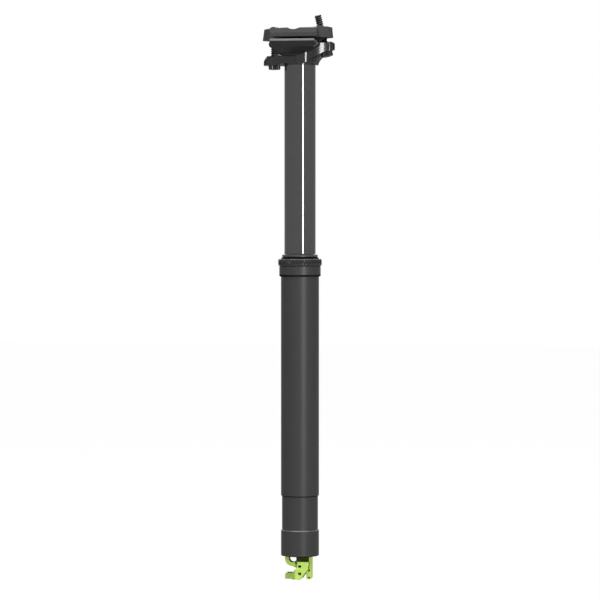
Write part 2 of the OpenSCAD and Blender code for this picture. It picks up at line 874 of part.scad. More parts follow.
module cartridge_rod() {
    color([0.78, 0.78, 0.8])
        difference() {
            union() {
                translate([0, 0, foot_z + boss_floor_t])
                    cylinder(r = rod_r, h = piston_z - foot_z - boss_floor_t);
                translate([0, 0, piston_z - eps]) cylinder(r = piston_stud_r, h = piston_h + eps);
                translate([0, 0, floor_top + base_washer_t]) cylinder(r = rod_collar_r, h = rod_collar_t);
            }
            translate([0, 0, foot_z]) cylinder(r = valve_bore_r, h = piston_top - foot_z + 1);
        }
}

module cartridge_piston() {
    seal_z = piston_z + (piston_h - piston_seal_h) / 2;
    color([0.6, 0.6, 0.62])
        difference() {
            ring(piston_r, piston_stud_r, piston_z, piston_top);
            ring(piston_r + 1, piston_r - piston_seal_t, seal_z, seal_z + piston_seal_h);
        }
}

module piston_seal() {
    seal_z = piston_z + (piston_h - piston_seal_h) / 2;
    color([0.08, 0.08, 0.08])
        ring(cylinder_ir - seal_clear, piston_r - piston_seal_t, seal_z, seal_z + piston_seal_h);
}

module top_out_bumper() {
    color([0.08, 0.08, 0.08]) ring(cylinder_ir - 2 * gap, rod_r, piston_z - top_out_t, piston_z);
}

module base_washer() {
    color([0.9, 0.9, 0.88]) ring(rod_collar_r, rod_r, floor_top, floor_top + base_washer_t);
}

module valve_pin() {
    pin_low = foot_z - valve_foot_d;
    color([0.7, 0.7, 0.72]) {
        translate([0, 0, pin_low]) cylinder(r = valve_r, h = piston_z + piston_h / 2 - pin_low);
        translate([0, 0, pin_low]) cylinder(r = valve_foot_r, h = valve_foot_t);
    }
}

// Outline of an actuator side plate, x and depth
module plate_outline() {
    polygon([[plate_top_x, -block_h], [block_x1, -block_h], [block_x1 - plate_taper, -plate_corner_d],
        [pivot_x, -stop_low_d - plate_point], [plate_x0 + plate_taper, -stop_low_d - plate_taper],
        [plate_x0, -stop_low_d], [plate_x0, -stop_high_d], [plate_neck_x, -plate_neck_d]]);
}

// The cut ends of a cross pin's hole in the side plates
module pin_hole(depth) {
    translate([pivot_x, 0, -depth]) {
        cross_bar(cross_pin_r, wide);
        both_sides()
            translate([0, plate_y - pin_bevel, 0]) rotate([-90, 0, 0])
                cylinder(r1 = cross_pin_r, r2 = cross_pin_r + 2 * pin_bevel, h = 2 * pin_bevel);
    }
}

module actuator_body() {
    block_y = plate_y - block_side_in;
    stop_y = plate_y - stop_side_in;
    bridge_d = lower_pin_d + cross_pin_r + gap;
    color([0.62, 0.78, 0.27])
        at_foot()
            difference() {
                union() {
                    translate([0, 0, -eps]) cylinder(r = boss_r, h = floor_t + eps);
                    translate([block_x0, -block_y, -block_h]) cube([block_x1 - block_x0, 2 * block_y, block_h]);
                    both_sides() translate([0, slot_y + plate_t / 2, 0]) side_plate(plate_t) plate_outline();
                    translate([plate_x0, -slot_y - eps, -stop_low_d])
                        cube([bridge_x1 - plate_x0, 2 * (slot_y + eps), stop_low_d - bridge_d]);
                    translate([stop_end_x, -stop_y, -stop_low_d])
                        cube([plate_x0 + stop_lap - stop_end_x, 2 * stop_y, stop_low_d - stop_high_d]);
                    side_plate(2 * leg_half_w) leg_outline();
                }
                cylinder(r = valve_bore_r + slide_clear, h = 3 * floor_t, center = true);
                translate([0, 0, boss_floor_t]) cylinder(r = rod_r, h = floor_t);
                translate([0, 0, -block_h - 1])
                    cylinder(r = valve_foot_r + gap, h = 1 + block_h - valve_room_top);
                pin_hole(pivot_d);
                pin_hole(lower_pin_d);
                for (rise = leg_pin_rise)
                    translate([leg_pin_x, 0, rise - leg_low_d]) cross_bar(leg_pin_r, 2 * leg_half_w + 1);
                translate([housing_x, 0, -stop_low_d - 1]) cylinder(r = housing_r, h = housing_seat + 1);
                translate([housing_x, 0, -stop_low_d]) cylinder(r = cable_r, h = stop_low_d);
                translate([stop_end_x - 1, -cable_r, -stop_low_d - 1])
                    cube([housing_x - stop_end_x + 1, 2 * cable_r, stop_low_d]);
                translate([stop_end_x + stop_tray_in, -slot_y, -stop_high_d - stop_tray_in])
                    cube([-stop_tray_in - stop_end_x, 2 * slot_y, 2 * stop_tray_in]);
            }
}

// Outline of the actuator's rear leg
module leg_outline() {
    width = leg_x1 - leg_x0;
    translate([leg_x0, -leg_low_d + leg_round]) square([width, leg_low_d - leg_round]);
    translate([leg_x0 + leg_round, -leg_low_d]) square([width - 2 * leg_round, leg_round + 1]);
    for (x = [leg_x0 + leg_round, leg_x1 - leg_round])
        translate([x, -leg_low_d + leg_round]) circle(r = leg_round);
}

module actuator_lever() {
    hook_low_d = hook_d + hook_outer_r;
    web_d = block_h + lever_web_gap;
    color([0.58, 0.74, 0.25])
        at_foot()
            difference() {
                side_plate(lever_w) {
                    difference() {
                        translate([hook_x, -hook_d]) circle(r = hook_outer_r);
                        translate([hook_x, -hook_d]) circle(r = hook_inner_r);
                        translate([hook_x - hook_inner_r, -hook_d]) square([2 * hook_inner_r, wide]);
                        translate([-wide, -hook_top_d]) square(2 * wide);
                        translate([block_x0 - hook_block_gap, -web_d]) square(wide);
                    }
                    polygon([[hook_x, -hook_low_d], [pivot_x - hub_r / 2, -pivot_d - hub_r * cos(30)],
                        [pivot_x, -pivot_d], [pivot_x, -web_d], [hook_x + hook_inner_r, -web_d],
                        [hook_x, -hook_d - hook_inner_r - hook_t / 3]]);
                    translate([pivot_x, -pivot_d]) circle(r = hub_r);
                    translate([nose_x, -nose_d]) circle(r = nose_r);
                }
                translate([pivot_x, 0, -pivot_d]) cross_bar(cross_pin_r + run_clear, wide);
                translate([-valve_foot_r - gap, -wide / 2, -valve_foot_d - slide_clear])
                    cube([wide, wide, valve_foot_d]);
            }
}

module lever_pivot_pin() {
    color([0.35, 0.35, 0.36])
        at_foot() translate([pivot_x, 0, -pivot_d]) cross_bar(cross_pin_r, 2 * (plate_y - cross_pin_inset));
}

module lower_cross_pin() {
    color([0.35, 0.35, 0.36])
        at_foot() translate([pivot_x, 0, -lower_pin_d]) cross_bar(cross_pin_r, 2 * (plate_y - cross_pin_inset));
}

module leg_pins() {
    color([0.5, 0.5, 0.52])
        at_foot()
            for (rise = leg_pin_rise)
                translate([leg_pin_x, 0, rise - leg_low_d])
                    cross_bar(leg_pin_r, 2 * leg_half_w - cross_pin_inset);
}

outer_tube();
collar();
wiper_seal();
inner_seal();
upper_bushing();
stanchion();
lower_bushing();
anti_rotation_keys();
saddle_head();
lower_cradle();
upper_cradle();
front_bolt();
rear_bolt();
front_washer();
rear_washer();
front_barrel_nut();
rear_barrel_nut();
cartridge_cylinder();
cartridge_guide();
rod_seal();
bottom_out_bumper();
cartridge_rod();
cartridge_piston();
piston_seal();
top_out_bumper();
base_washer();
valve_pin();
actuator_body();
actuator_lever();
lever_pivot_pin();
lower_cross_pin();
leg_pins();
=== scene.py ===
"""Looks for a telescopic bicycle seatpost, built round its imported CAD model.

The sections follow the post as it is put together: the outer tube and what is inside it,
the sliding post with its head and clamp, the actuator under the foot, and then the studio.
"""

import math

import bpy
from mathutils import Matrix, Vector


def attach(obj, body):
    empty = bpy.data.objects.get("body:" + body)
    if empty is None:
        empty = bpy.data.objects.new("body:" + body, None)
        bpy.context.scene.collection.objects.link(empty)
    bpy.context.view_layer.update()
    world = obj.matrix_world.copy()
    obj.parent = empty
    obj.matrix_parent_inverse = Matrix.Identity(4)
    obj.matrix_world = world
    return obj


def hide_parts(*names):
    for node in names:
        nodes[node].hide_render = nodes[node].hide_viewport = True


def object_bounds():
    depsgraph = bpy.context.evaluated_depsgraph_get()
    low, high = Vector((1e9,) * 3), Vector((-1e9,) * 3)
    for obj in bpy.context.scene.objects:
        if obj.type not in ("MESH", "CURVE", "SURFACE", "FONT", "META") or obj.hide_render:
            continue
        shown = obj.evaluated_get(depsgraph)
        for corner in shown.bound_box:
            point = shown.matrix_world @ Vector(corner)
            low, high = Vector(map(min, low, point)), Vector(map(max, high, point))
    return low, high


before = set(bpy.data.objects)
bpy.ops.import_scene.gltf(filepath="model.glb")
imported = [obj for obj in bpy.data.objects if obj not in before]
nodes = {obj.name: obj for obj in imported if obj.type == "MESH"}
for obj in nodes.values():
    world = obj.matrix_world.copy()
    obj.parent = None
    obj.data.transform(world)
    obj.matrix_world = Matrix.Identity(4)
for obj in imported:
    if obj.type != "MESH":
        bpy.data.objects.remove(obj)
cad_low, cad_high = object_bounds()

# Outer tube: the aluminium tube that goes down into the bicycle frame, turned narrower near its foot.
# It is blasted and anodised matte black, which leaves an even dark grey sheen with a very fine grain.


def edit(piece):
    """Opens one piece in edit mode with all of it selected."""
    bpy.ops.object.select_all(action="DESELECT")
    piece.select_set(True)
    bpy.context.view_layer.objects.active = piece
    bpy.ops.object.mode_set(mode="EDIT")
    bpy.ops.mesh.select_mode(type="VERT")
    bpy.ops.mesh.select_all(action="SELECT")


def welded_copy(node, name, *finishes):
    """A new piece with a CAD node's shape, its loose triangles joined at their corners."""
    piece = bpy.data.objects.new(name, nodes[node].data.copy())
    bpy.context.collection.objects.link(piece)
    piece.data.materials.clear()
    for material in finishes:
        piece.data.materials.append(material)
    edit(piece)
    bpy.ops.mesh.remove_doubles(threshold=2e-6)
    bpy.ops.mesh.dissolve_limited(angle_limit=math.radians(0.3))
    bpy.ops.object.mode_set(mode="OBJECT")
    return piece


def soften(piece, width, segments=2, angle=28, edge_slot=0):
    """Rounds the sharp edges of a piece and smooths its round faces, while its large faces stay flat."""
    bevel = piece.modifiers.new("edges", "BEVEL")
    bevel.width = width
    bevel.segments = segments
    bevel.limit_method = "ANGLE"
    bevel.angle_limit = math.radians(angle)
    bevel.material = edge_slot
    bpy.ops.object.modifier_apply(modifier=bevel.name)
    bpy.ops.object.shade_smooth_by_angle(angle=math.radians(angle))
    shading = piece.modifiers.new("shading", "WEIGHTED_NORMAL")
    shading.keep_sharp = True
    bpy.ops.object.modifier_apply(modifier=shading.name)


def paint(piece, material, chosen):
    """Gives the faces for which chosen(centre, normal) is true a colour of their own, which here is a painted
    highlight or painted shade.
    """
    piece.data.materials.append(material)
    for face in piece.data.polygons:
        if chosen(face.center, face.normal):
            face.material_index = len(piece.data.materials) - 1


def fit(piece, body, slot, *stands_for):
    """Puts a finished piece on its body, in place of the CAD nodes it stands for."""
    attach(piece, body)
    if stands_for:
        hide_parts(*stands_for)


def grain_group():
    """Fine grain and slow clouding of a blasted, anodised or moulded surface."""
    group = bpy.data.node_groups.new("surface_grain", "ShaderNodeTree")
    for name, kind in (("Dark", "Color"), ("Light", "Color"), ("Smooth", "Float"), ("Rough", "Float"),
                       ("Grain Scale", "Float"), ("Cloud Scale", "Float")):
        group.interface.new_socket(name, in_out="INPUT", socket_type="NodeSocket" + kind)
    for name, kind in (("Color", "Color"), ("Roughness", "Float"), ("Height", "Float")):
        group.interface.new_socket(name, in_out="OUTPUT", socket_type="NodeSocket" + kind)
    made, link = group.nodes.new, group.links.new
    inputs, outputs = made("NodeGroupInput"), made("NodeGroupOutput")
    place = made("ShaderNodeTexCoord")
    grain, cloud = made("ShaderNodeTexNoise"), made("ShaderNodeTexNoise")
    grain.inputs["Detail"].default_value = 3
    cloud.inputs["Detail"].default_value = 4
    colour = made("ShaderNodeMix")
    colour.data_type = "RGBA"
    rough = made("ShaderNodeMapRange")
    link(place.outputs["Object"], grain.inputs["Vector"])
    link(place.outputs["Object"], cloud.inputs["Vector"])
    link(inputs.outputs["Grain Scale"], grain.inputs["Scale"])
    link(inputs.outputs["Cloud Scale"], cloud.inputs["Scale"])
    link(cloud.outputs["Fac"], colour.inputs["Factor"])
    link(inputs.outputs["Dark"], colour.inputs["A"])
    link(inputs.outputs["Light"], colour.inputs["B"])
    link(grain.outputs["Fac"], rough.inputs["Value"])
    link(inputs.outputs["Smooth"], rough.inputs["To Min"])
    link(inputs.outputs["Rough"], rough.inputs["To Max"])
    link(colour.outputs["Result"], outputs.inputs["Color"])
    link(rough.outputs["Result"], outputs.inputs["Roughness"])
    link(grain.outputs["Fac"], outputs.inputs["Height"])
    return group


surface_grain = grain_group()


def finish(name, dark, light, roughness, grain_mm=0.25, cloud_mm=30, bump_um=2, **sockets):
    """A material whose colour clouds slowly from dark to light, with a grain of the given size."""
    material = bpy.data.materials.new(name)
    material.use_nodes = True
    tree = material.node_tree
    shader = tree.nodes["Principled BSDF"]
    for socket, value in sockets.items():
        shader.inputs[socket.replace("_", " ")].default_value = value
    grain = tree.nodes.new("ShaderNodeGroup")
    grain.node_tree = surface_grain
    grain.inputs["Dark"].default_value = (*dark, 1)
    grain.inputs["Light"].default_value = (*light, 1)
    grain.inputs["Smooth"].default_value = roughness[0]
    grain.inputs["Rough"].default_value = roughness[1]
    grain.inputs["Grain Scale"].default_value = 1000 / grain_mm
    grain.inputs["Cloud Scale"].default_value = 1000 / cloud_mm
    bump = tree.nodes.new("ShaderNodeBump")
    bump.inputs["Distance"].default_value = bump_um * 1e-6
    tree.links.new(grain.outputs["Color"], shader.inputs["Base Color"])
    tree.links.new(grain.outputs["Roughness"], shader.inputs["Roughness"])
    tree.links.new(grain.outputs["Height"], bump.inputs["Height"])
    tree.links.new(bump.outputs["Normal"], shader.inputs["Normal"])
    return material


matte_black = finish("matte_black_anodised", (0.038, 0.038, 0.039), (0.042, 0.042, 0.043), (0.36, 0.42),
                     Metallic=0.3, Specular_IOR_Level=0.0)
# A lighter grey, used as a painted highlight on edges and faces that turn towards the lamps.
painted_highlight_grey = finish("painted_highlight_edge", (0.088, 0.088, 0.09), (0.1, 0.1, 0.102), (0.28, 0.36), Metallic=0.7,
                   Specular_IOR_Level=0.0)
# A near black, used as painted shade on faces that turn down, in grooves, and as a painted dark reflection on
# a chamfer.
painted_shade_black = finish("painted_shade_black", (0.006, 0.006, 0.006), (0.009, 0.009, 0.009), (0.5, 0.6),
                      Specular_IOR_Level=0.0)
tube_skin = 0.0145
tube_middle = -0.1
tilted = 0.3
tube = welded_copy("outer_tube", "tube", matte_black)
soften(tube, width=0.0002)


def off_axis(place):
    """Distance of a place from the post's axis."""
    return math.hypot(place.x, place.y)


# On the outside, faces turned up near the foot get a painted highlight, and faces turned down painted shade.
paint(tube, painted_highlight_grey, lambda at, to: to.z > tilted and at.z < tube_middle and off_axis(at) > tube_skin)
paint(tube, painted_shade_black, lambda at, to: to.z < -tilted and off_axis(at) > tube_skin)
fit(tube, "lower_post", "matte_black_tube", "outer_tube")

# Collar: a turned ring that screws onto the tube and holds the seals, with a knurled band to grip it by.
# The band is rolled into small diamonds in a lighter black, and the facets turned one way get a darker black
# as painted shade.
knurl_low, knurl_high = 0.0096, 0.0139
knurl_wall = 0.0002
knurl_radius = 0.0182
knurl_depth = 0.0005
knurl_count = 42
knurl_rows = 3
barrel_foot = 0.0016
ring_groove = (0.0085, 0.0091)
ring_rim = 0.017
hair = 0.0001
satin_black = finish("satin_black_anodised", (0.038, 0.038, 0.039), (0.042, 0.042, 0.043), (0.34, 0.40),
                     Metallic=0.32, Specular_IOR_Level=0.0)
collar = welded_copy("collar", "collar_ring", satin_black)
edit(collar)
for height in (barrel_foot, knurl_low, knurl_low + knurl_wall, knurl_high - knurl_wall, knurl_high):
    bpy.ops.mesh.select_all(action="SELECT")
    bpy.ops.mesh.bisect(plane_co=(0, 0, height), plane_no=(0, 0, 1))
bpy.ops.mesh.select_all(action="DESELECT")
bpy.ops.object.mode_set(mode="OBJECT")
for vertex in collar.data.vertices:
    on_band = knurl_low + knurl_wall / 2 < vertex.co.z < knurl_high - knurl_wall / 2
    vertex.select = on_band and off_axis(vertex.co) > knurl_radius - hair
bpy.ops.object.mode_set(mode="EDIT")
sunk = (knurl_radius - knurl_depth) / knurl_radius
bpy.ops.transform.resize(value=(sunk, sunk, 1), center_override=(0, 0, 0))
bpy.ops.object.mode_set(mode="OBJECT")
soften(collar, width=0.00018)
# The foot's chamfer and the groove under the ring get painted shade, and the ring's upward top edge a painted
# highlight.
paint(collar, painted_shade_black, lambda at, to: at.z < barrel_foot or ring_groove[0] < at.z < ring_groove[1])
paint(collar, painted_highlight_grey, lambda at, to: to.z > tilted and at.z > knurl_high and off_axis(at) > ring_rim)
fit(collar, "lower_post", "satin_black_collar", "collar")

bpy.ops.object.select_all(action="DESELECT")
bpy.ops.mesh.primitive_cylinder_add(vertices=2 * knurl_count, radius=knurl_radius - knurl_depth,
                                    depth=knurl_high - knurl_low, end_fill_type="NOTHING",
                                    location=(0, 0, (knurl_low + knurl_high) / 2))
knurl = bpy.context.active_object
knurl.name = "knurl_band"
bpy.ops.object.transform_apply(location=True, rotation=True, scale=True)
edit(knurl)
row_height = (knurl_high - knurl_low) / knurl_rows
for row in range(1, knurl_rows):
    bpy.ops.mesh.select_all(action="SELECT")
    bpy.ops.mesh.bisect(plane_co=(0, 0, knurl_low + row * row_height), plane_no=(0, 0, 1))
bpy.ops.mesh.select_all(action="DESELECT")
bpy.ops.object.mode_set(mode="OBJECT")
for vertex in knurl.data.vertices:
    row = round((vertex.co.z - knurl_low) / row_height)
    column = round(math.atan2(vertex.co.y, vertex.co.x) / math.pi * knurl_count)
    vertex.select = 0 < row < knurl_rows and (row + column) % 2 == 1
bpy.ops.object.mode_set(mode="EDIT")
raised = knurl_radius / (knurl_radius - knurl_depth)
bpy.ops.transform.resize(value=(raised, raised, 1), center_override=(0, 0, 0))
bpy.ops.mesh.select_all(action="SELECT")
bpy.ops.mesh.quads_convert_to_tris(quad_method="SHORTEST_DIAGONAL")
bpy.ops.mesh.normals_make_consistent(inside=False)
bpy.ops.object.mode_set(mode="OBJECT")
wall = knurl.modifiers.new("wall", "SOLIDIFY")
wall.thickness = 0.0006
wall.offset = -1
bpy.ops.object.modifier_apply(modifier=wall.name)
bpy.ops.object.shade_flat()
rolled_knurl = finish("rolled_knurl", (0.045, 0.045, 0.046), (0.05, 0.05, 0.051), (0.24, 0.3),
                      Metallic=0.5, Specular_IOR_Level=0.0)
knurl.data.materials.append(rolled_knurl)
knurl_painted_shade = finish("knurl_painted_shade", (0.008, 0.008, 0.0082), (0.011, 0.011, 0.0112), (0.3, 0.36),
                     Metallic=0.3, Specular_IOR_Level=0.0)
# Facets turned one way round the band get painted shade.
paint(knurl, knurl_painted_shade, lambda at, to: (to.y * at.x - to.x * at.y) * to.z < 0)
fit(knurl, "lower_post", "satin_black_collar")

# Seals and bushings: the wiper lip on top of the collar is moulded rubber, with an inner seal under it.
# The bushings that the post slides in are pressed from a low-friction plastic.
black_rubber = finish("moulded_rubber", (0.022, 0.022, 0.023), (0.03, 0.03, 0.031), (0.38, 0.52),
                      grain_mm=0.15, bump_um=3, Specular_IOR_Level=0.3)
lip_foot, lip_top = 0.0164, 0.0182
lip_rise = 0.0008
lip_edge_radius = 0.0138
wiper = welded_copy("wiper_seal", "wiper_lip", black_rubber)
edit(wiper)
bpy.ops.mesh.select_all(action="DESELECT")
bpy.ops.object.mode_set(mode="OBJECT")
for vertex in wiper.data.vertices:
    vertex.select = vertex.co.z > lip_top - hair and off_axis(vertex.co) < lip_edge_radius
bpy.ops.object.mode_set(mode="EDIT")
bpy.ops.transform.translate(value=(0, 0, lip_rise))
bpy.ops.object.mode_set(mode="OBJECT")
soften(wiper, width=0.00022, segments=3)
# The groove and flange below the lip's foot get painted shade.
paint(wiper, painted_shade_black, lambda at, to: at.z < lip_foot)
fit(wiper, "lower_post", "black_rubber", "wiper_seal")
bushing_plastic = finish("bushing_plastic", (0.2, 0.17, 0.11), (0.27, 0.24, 0.17), (0.4, 0.55), grain_mm=0.4)


def coat(material, *names):
    """Gives CAD nodes that stay as they are their finish."""
    for name in names:
        nodes[name].data.materials.clear()
        nodes[name].data.materials.append(material)


coat(black_rubber, "inner_seal", "rod_seal", "piston_seal", "top_out_bumper", "bottom_out_bumper")
coat(bushing_plastic, "upper_bushing", "lower_bushing", "base_washer")

# Gas cartridge: turned from aluminium and closed inside the post, with its rod fixed in the tube's foot.
# Three brass keys at the stanchion's foot run in grooves, so that the saddle can't turn.
turned_aluminium = finish("turned_aluminium", (0.5, 0.5, 0.51), (0.62, 0.62, 0.63), (0.25, 0.4), grain_mm=0.3,
                          Metallic=1.0)
coat(turned_aluminium, "cartridge_cylinder", "cartridge_guide", "cartridge_piston", "cartridge_rod")
key_brass = finish("key_brass", (0.55, 0.4, 0.15), (0.66, 0.5, 0.22), (0.3, 0.42), grain_mm=0.3, Metallic=1.0)
coat(key_brass, "anti_rotation_keys")

# Stanchion: the sliding aluminium tube, ground smooth and hard-anodised black so that the seals run on it.
# It mirrors the studio's strip light as one crisp line.
hard_black = finish("hard_anodised_black", (0.068, 0.068, 0.069), (0.073, 0.073, 0.074), (0.05, 0.07),
                    grain_mm=0.5, bump_um=0.02, Metallic=0.78, Specular_Tint=(0.7, 0.7, 0.7, 1),
                    Specular_IOR_Level=0.0)
stanchion = welded_copy("stanchion", "sliding_tube", hard_black)
soften(stanchion, width=0.0002)
fit(stanchion, "upper_post", "gloss_black_stanchion", "stanchion")

# Saddle head: forged and milled with the two bolt arms, then polished and anodised black.
# It is pressed into the stanchion, and the clamp rocks in the round seat across its top,
# which runs out in two low lips beside the front bolt.
polished_black = finish("polished_black", (0.033, 0.033, 0.034), (0.038, 0.038, 0.039), (0.10, 0.15),
                        grain_mm=0.2, bump_um=0.3, Metallic=0.75, Specular_Tint=(0.3, 0.3, 0.3, 1),
                        Specular_IOR_Level=0.0)
head = welded_copy("saddle_head", "head", polished_black, painted_shade_black)


def join(piece, tool, operation):
    """Adds a tool's solid to a piece or cuts it away, and removes the tool."""
    change = piece.modifiers.new(operation, "BOOLEAN")
    change.operation = operation
    change.object = tool
    bpy.context.view_layer.objects.active = piece
    bpy.ops.object.modifier_apply(modifier=change.name)
    bpy.data.objects.remove(tool)


rocker_x, rocker_z, rocker_radius = -0.007, 0.217, 0.035
rocker_length = 0.06
lip_front, lip_back, lip_low, lip_high = -0.0205, -0.0145, 0.1819, 0.186
lip_inner, lip_outer = 0.0037, 0.0086
for side in (-1, 1):
    bpy.ops.object.select_all(action="DESELECT")
    lip_middle = ((lip_front + lip_back) / 2, side * (lip_inner + lip_outer) / 2, (lip_low + lip_high) / 2)
    lip_size = (lip_back - lip_front, lip_outer - lip_inner, lip_high - lip_low)
    bpy.ops.mesh.primitive_cube_add(size=1, location=lip_middle, scale=lip_size)
    lip = bpy.context.active_object
    bpy.ops.mesh.primitive_cylinder_add(vertices=192, radius=rocker_radius, depth=rocker_length,
                                        location=(rocker_x, 0, rocker_z), rotation=(math.radians(90), 0, 0))
    join(lip, bpy.context.active_object, "DIFFERENCE")
    join(head, lip, "UNION")
lug_x, lug_back, lug_radius = -0.0215, -0.0135, 0.0089
lug_rim_low, lug_rim_high = 0.179, 0.1826
lug_bevel = 0.001
lug_wall_low = 0.175
bevel_slopes = (0.15, 0.6)
edit(head)
bpy.ops.mesh.select_all(action="DESELECT")
bpy.ops.mesh.select_mode(type="EDGE")
bpy.ops.object.mode_set(mode="OBJECT")


def on_lug_rim(place):
    """True on the outer top edge of the front lug."""
    reach = math.hypot(place.x - lug_x, place.y) if place.x < lug_x else abs(place.y)
    return reach > lug_radius - 2 * hair and place.x < lug_back and lug_rim_low < place.z < lug_rim_high


for edge in head.data.edges:
    edge.select = all(on_lug_rim(head.data.vertices[i].co) for i in edge.vertices)
bpy.ops.object.mode_set(mode="EDIT")
# The front lug's rim gets a chamfer coloured near black, as a painted dark reflection.
bpy.ops.mesh.bevel(offset=lug_bevel, segments=1, affect="EDGES", clamp_overlap=False, material=1)
bpy.ops.object.mode_set(mode="OBJECT")
soften(head, width=0.0005, segments=3)
# The softened edges along the lug that face partly up get a painted highlight.
paint(head, painted_highlight_grey, lambda at, to: at.x < lug_back and at.z > lug_wall_low
      and bevel_slopes[0] < to.z < bevel_slopes[1])
fit(head, "upper_post", "gloss_black_head", "saddle_head")

# Rail clamp: two milled cradles that hold the saddle's rails between them, in a duller black.
# Their edges are broken by a machined bevel, whose rear end and upward faces on the lower cradle get a
# lighter grey as a painted highlight.
dull_black = finish("dull_black_cradle", (0.017, 0.017, 0.0175), (0.02, 0.02, 0.0205), (0.24, 0.32),
                    Metallic=0.3, Specular_IOR_Level=0.0)
satin_cap = finish("satin_black_cap", (0.047, 0.047, 0.048), (0.053, 0.053, 0.054), (0.3, 0.38),
                   Metallic=0.15, Specular_IOR_Level=0.0)
cradle_side = 0.0269
rear_end = 0.0159
rear_bevel = 0.0007
trough_side = 0.024
below = welded_copy("lower_cradle", "cradle_below", dull_black, painted_highlight_grey)
edit(below)
bpy.ops.mesh.select_all(action="DESELECT")
bpy.ops.mesh.select_mode(type="EDGE")
bpy.ops.object.mode_set(mode="OBJECT")
for edge in below.data.edges:
    ends = [below.data.vertices[i].co for i in edge.vertices]
    edge.select = all(abs(end.y) > cradle_side and end.x > rear_end for end in ends)
bpy.ops.object.mode_set(mode="EDIT")
# The rear bevel gets the lighter grey as a painted highlight.
bpy.ops.mesh.bevel(offset=rear_bevel, segments=1, affect="EDGES", clamp_overlap=True, material=1)
bpy.ops.object.mode_set(mode="OBJECT")
soften(below, width=0.0003, segments=2)
# Upward bevel faces along the sides get a painted highlight.
paint(below, painted_highlight_grey, lambda at, to: abs(at.y) > trough_side and abs(to.y) > tilted and to.z > tilted)
fit(below, "rail_clamp", "satin_black_cradle", "lower_cradle")
above = welded_copy("upper_cradle", "cradle_above", satin_cap)
soften(above, width=0.0004, segments=3)
fit(above, "rail_clamp", "satin_black_cradle", "upper_cradle")

# Clamp bolts: M6 socket-head screws in black steel, each with a half-round washer and a barrel nut.
# The thread is rolled, and the heads have straight serrations round their sides. The thread's crests and
# lower flanks get painted shade, and its upper flanks a painted highlight.
bolt_radius = 0.003
thread_pitch = 0.0017
thread_depth = 0.0006
thread_crest = (0.42, 0.58)
bolt_length = 0.0302
head_radius = 0.0049
head_height = 0.005
head_chamfer = 0.0005
socket_radius = 0.0029
serrations = 40
serration_root = 0.95
shank_start = -0.001
squarely = 0.9
black_steel = finish("black_oxide_steel", (0.03, 0.03, 0.0305), (0.038, 0.038, 0.0385), (0.18, 0.26),
                     grain_mm=0.2, bump_um=2, Metallic=0.75, Specular_IOR_Level=0.0)


